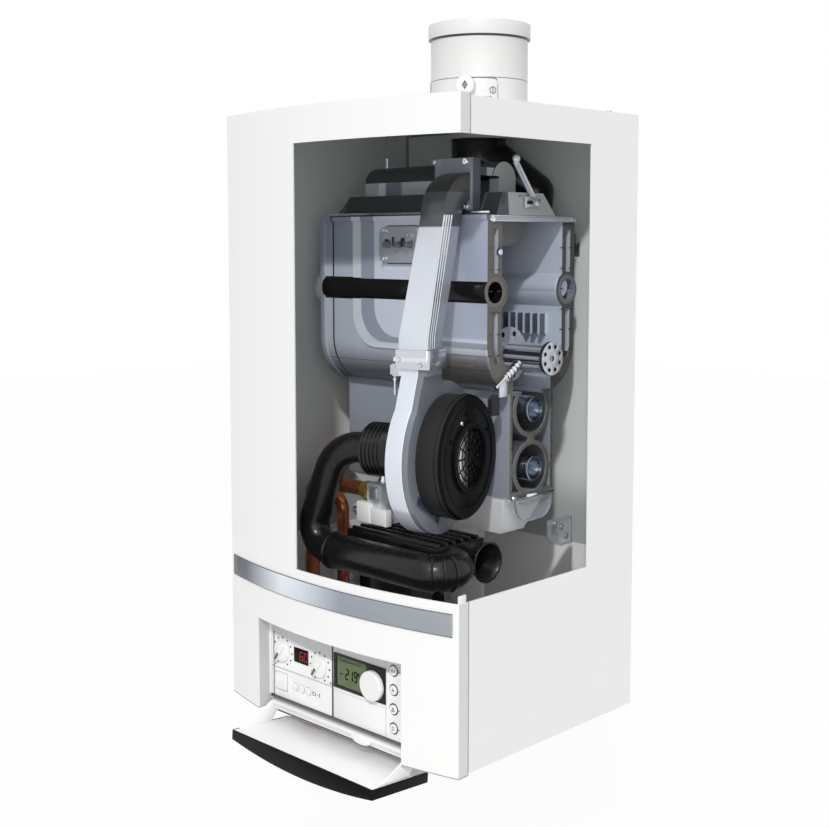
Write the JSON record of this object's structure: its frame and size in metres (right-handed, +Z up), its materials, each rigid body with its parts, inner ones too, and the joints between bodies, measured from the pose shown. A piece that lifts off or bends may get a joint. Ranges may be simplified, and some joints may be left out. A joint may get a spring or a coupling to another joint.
{
  "type": "wall-hung condensing boiler",
  "caption": "Wall-hung condensing boiler with a bowed white casing cut away over exchanger, fan, ducts and pipes, control recess with a swing flap, and a concentric flue adapter on top.",
  "frame": {"origin": "on the wall plane, at the middle of the width, level with the lower edge of the casing", "axes": "+X to the right seen from the room, +Y towards the wall, +Z up"},
  "size_m": [0.44, 0.4258, 0.997],
  "materials": {
    "casing_white": "satin white powder coat, grey-green primer inside the casing",
    "trim_chrome": "bright blue-grey reflective strip",
    "zinc_steel": "zinc-plated steel",
    "black_rubber": "matt black rubber",
    "flue_white": "smooth white",
    "flue_grey": "pale grey plastic pipe",
    "black_plastic": "satin-gloss black moulded plastic",
    "white_plastic": "fine satin white plastic",
    "bezel_dark": "dark glossy bezel",
    "led_glass": "dark red-tinted window",
    "lcd_glass": "green display glass",
    "board_green": "green circuit board",
    "cast_aluminium": "cast aluminium, bright blue-grey, section faces warm grey",
    "hood_graphite": "dark grey cast aluminium",
    "steel": "plain stainless steel",
    "ceramic": "white ceramic and steel tips",
    "copper": "drawn copper pipe",
    "brass": "machined brass",
    "pump_iron": "black coated cast iron"
  },
  "bodies": {
    "boiler": {"front_cover": "casing_white", "left_side_panel": "casing_white", "right_side_panel": "casing_white", "rear_panel": "casing_white", "top_panel": "casing_white", "bottom_panel": "casing_white", "trim_strip": "trim_chrome", "casing_screws": "zinc_steel", "wall_bracket": "zinc_steel", "hinge_pins": "zinc_steel", "wall_spacer": "black_rubber", "flue_adapter": "flue_white", "flue_test_caps": "flue_white", "flue_inner_pipe": "flue_grey", "flue_duct": "black_plastic", "fan_motor": "black_plastic", "intake_pipe": "black_plastic", "silencer": "black_plastic", "left_fascia": "white_plastic", "right_fascia": "white_plastic", "control_box": "white_plastic", "gas_valve": "white_plastic", "siphon": "white_plastic", "display_bezel": "bezel_dark", "led_window": "led_glass", "lcd_window": "lcd_glass", "control_board": "board_green", "exchanger_drum": "cast_aluminium", "exchanger_neck": "cast_aluminium", "header_tubes": "cast_aluminium", "inspection_cover": "cast_aluminium", "fan_scroll": "cast_aluminium", "mixing_duct": "cast_aluminium", "duct_clamp": "cast_aluminium", "condensate_sump": "cast_aluminium", "burner_hood": "hood_graphite", "port_tubes": "steel", "displacer_bundle": "steel", "burner": "steel", "electrodes": "ceramic", "gas_pipe": "copper", "flow_pipe": "copper", "return_pipe": "copper", "gas_union": "brass", "circulation_pump": "pump_iron"},
    "flap": {"flap_cover": "black_plastic", "flap_tray": "white_plastic", "flap_arms": "white_plastic"},
    "left_knob": {"left_knob": "white_plastic"},
    "right_knob": {"right_knob": "white_plastic"},
    "dial": {"dial": "white_plastic"},
    "mains_switch": {"mains_switch": "white_plastic"},
    "fan_impeller": {"fan_impeller": "steel"},
    "small_key_1": {"small_key_1": "white_plastic"},
    "small_key_2": {"small_key_2": "white_plastic"},
    "small_key_3": {"small_key_3": "white_plastic"},
    "round_button_1": {"round_button_1": "white_plastic"},
    "round_button_2": {"round_button_2": "white_plastic"},
    "round_button_3": {"round_button_3": "white_plastic"},
    "round_button_4": {"round_button_4": "white_plastic"}
  },
  "joints": [
    {"name": "flap_hinge", "type": "hinge", "parent": "boiler", "child": "flap", "pos_m": [0, -0.3162, 0.0222], "axis": [-1, 0, 0], "range_deg": [0, 86]},
    {"name": "left_knob_turn", "type": "hinge", "parent": "boiler", "child": "left_knob", "pos_m": [-0.115, -0.353, 0.0813], "axis": [0, -1, 0], "range_deg": [-40, 230]},
    {"name": "right_knob_turn", "type": "hinge", "parent": "boiler", "child": "right_knob", "pos_m": [-0.0374, -0.353, 0.0775], "axis": [0, -1, 0], "range_deg": [-40, 230]},
    {"name": "dial_turn", "type": "hinge", "parent": "boiler", "child": "dial", "pos_m": [0.068, -0.353, 0.0785], "axis": [0, -1, 0], "continuous": true},
    {"name": "mains_switch_press", "type": "slide", "parent": "boiler", "child": "mains_switch", "axis": [0, 1, 0], "range_m": [0, 0.002], "stiffness_N_per_m": 400},
    {"name": "small_key_1_press", "type": "slide", "parent": "boiler", "child": "small_key_1", "axis": [0, 1, 0], "range_m": [0, 0.0015], "stiffness_N_per_m": 300},
    {"name": "small_key_2_press", "type": "slide", "parent": "boiler", "child": "small_key_2", "axis": [0, 1, 0], "range_m": [0, 0.0015], "stiffness_N_per_m": 300},
    {"name": "small_key_3_press", "type": "slide", "parent": "boiler", "child": "small_key_3", "axis": [0, 1, 0], "range_m": [0, 0.0015], "stiffness_N_per_m": 300},
    {"name": "round_button_1_press", "type": "slide", "parent": "boiler", "child": "round_button_1", "axis": [0, 1, 0], "range_m": [0, 0.0015], "stiffness_N_per_m": 300},
    {"name": "round_button_2_press", "type": "slide", "parent": "boiler", "child": "round_button_2", "axis": [0, 1, 0], "range_m": [0, 0.0015], "stiffness_N_per_m": 300},
    {"name": "round_button_3_press", "type": "slide", "parent": "boiler", "child": "round_button_3", "axis": [0, 1, 0], "range_m": [0, 0.0015], "stiffness_N_per_m": 300},
    {"name": "round_button_4_press", "type": "slide", "parent": "boiler", "child": "round_button_4", "axis": [0, 1, 0], "range_m": [0, 0.0015], "stiffness_N_per_m": 300},
    {"name": "fan_spin", "type": "hinge", "parent": "boiler", "child": "fan_impeller", "pos_m": [0.1561, -0.27, 0.3746], "axis": [0.9659, 0.2588, 0], "continuous": true}
  ]
}
